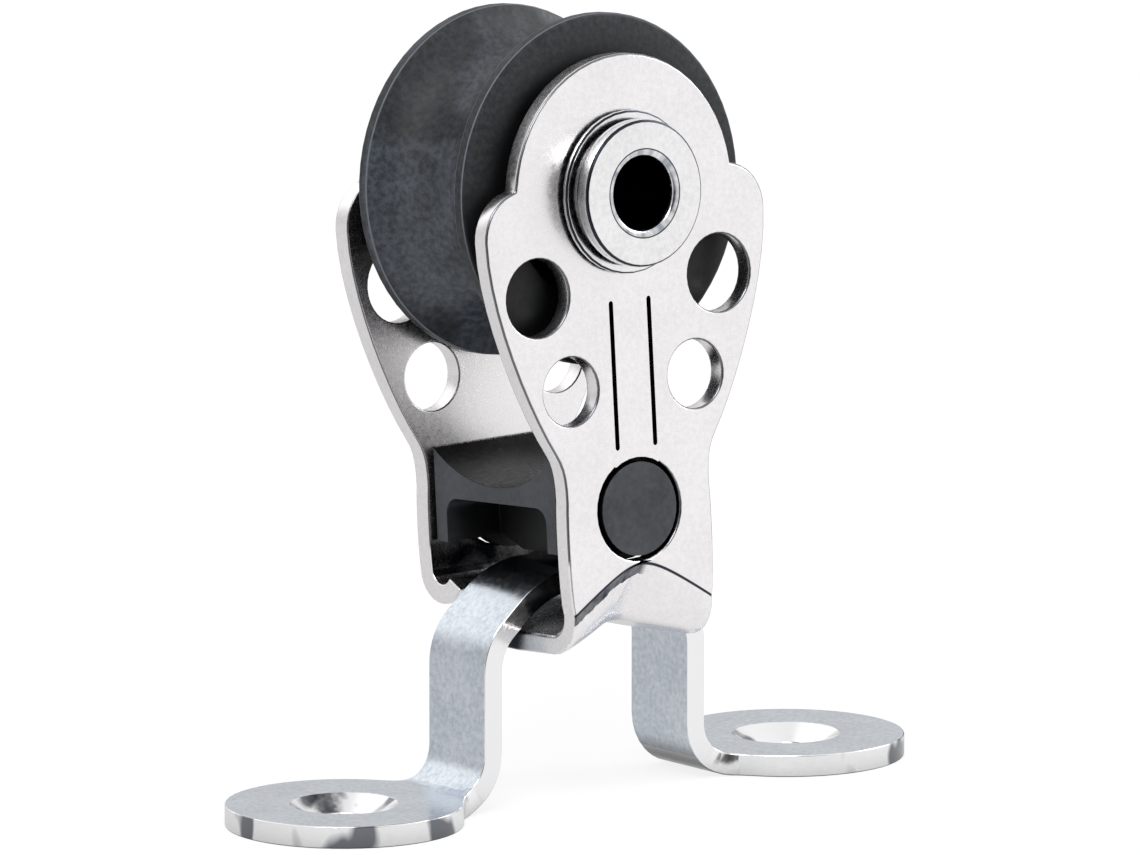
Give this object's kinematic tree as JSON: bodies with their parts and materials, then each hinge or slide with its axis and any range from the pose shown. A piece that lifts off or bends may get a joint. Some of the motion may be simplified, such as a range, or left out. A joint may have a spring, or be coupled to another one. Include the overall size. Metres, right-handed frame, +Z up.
{
  "type": "anti-capsize block",
  "caption": "Small ball-bearing pulley block with pressed side cheeks that rocks slightly on a bent deck strap with round countersunk feet.",
  "frame": {"origin": "on the deck plane, under the middle of the axle", "axes": "+Z up from the deck, +X along the line of the two feet, the axle along Y with the front cheek at -Y"},
  "size_m": [0.0502, 0.02, 0.0496],
  "materials": {
    "strap_steel": "satin, blue-grey faces",
    "cheek_steel": "bright satin with polished edges",
    "polished_steel": "polished stainless steel",
    "sheave_plastic": "dark blue-grey, soft sheen",
    "post_plastic": "matte black",
    "bearing_plastic": "smooth off-white"
  },
  "bodies": {
    "base": {"base_strap": "strap_steel"},
    "block": {"front_cheek": "cheek_steel", "rear_cheek": "cheek_steel", "head_post": "post_plastic", "axle_rivet": "polished_steel", "inner_race": "polished_steel", "front_washer": "polished_steel", "rear_washer": "polished_steel", "front_thrust_washer": "bearing_plastic", "rear_thrust_washer": "bearing_plastic"},
    "sheave": {"sheave": "sheave_plastic"},
    "ball_set": {"front_ball_01": "bearing_plastic", "front_ball_02": "bearing_plastic", "front_ball_03": "bearing_plastic", "front_ball_04": "bearing_plastic", "front_ball_05": "bearing_plastic", "front_ball_06": "bearing_plastic", "front_ball_07": "bearing_plastic", "front_ball_08": "bearing_plastic", "front_ball_09": "bearing_plastic", "front_ball_10": "bearing_plastic", "front_ball_11": "bearing_plastic", "front_ball_12": "bearing_plastic", "front_ball_13": "bearing_plastic", "front_ball_14": "bearing_plastic", "rear_ball_01": "bearing_plastic", "rear_ball_02": "bearing_plastic", "rear_ball_03": "bearing_plastic", "rear_ball_04": "bearing_plastic", "rear_ball_05": "bearing_plastic", "rear_ball_06": "bearing_plastic", "rear_ball_07": "bearing_plastic", "rear_ball_08": "bearing_plastic", "rear_ball_09": "bearing_plastic", "rear_ball_10": "bearing_plastic", "rear_ball_11": "bearing_plastic", "rear_ball_12": "bearing_plastic", "rear_ball_13": "bearing_plastic", "rear_ball_14": "bearing_plastic"}
  },
  "joints": [
    {"name": "block_rock", "type": "hinge", "parent": "base", "child": "block", "pos_m": [0, -0.00186, 0.014], "axis": [1, 0, 0], "range_deg": [0, 8.8]},
    {"name": "sheave_spin", "type": "hinge", "parent": "block", "child": "sheave", "pos_m": [0, 0, 0.03823], "axis": [0, 0.9971, -0.0767], "continuous": true},
    {"name": "ball_orbit", "type": "hinge", "parent": "block", "child": "ball_set", "pos_m": [0, 0, 0.03823], "axis": [0, 0.9971, -0.0767], "continuous": true}
  ],
  "couplings": [
    {"joint": "ball_orbit", "follows": "sheave_spin", "ratio": 0.5952}
  ]
}
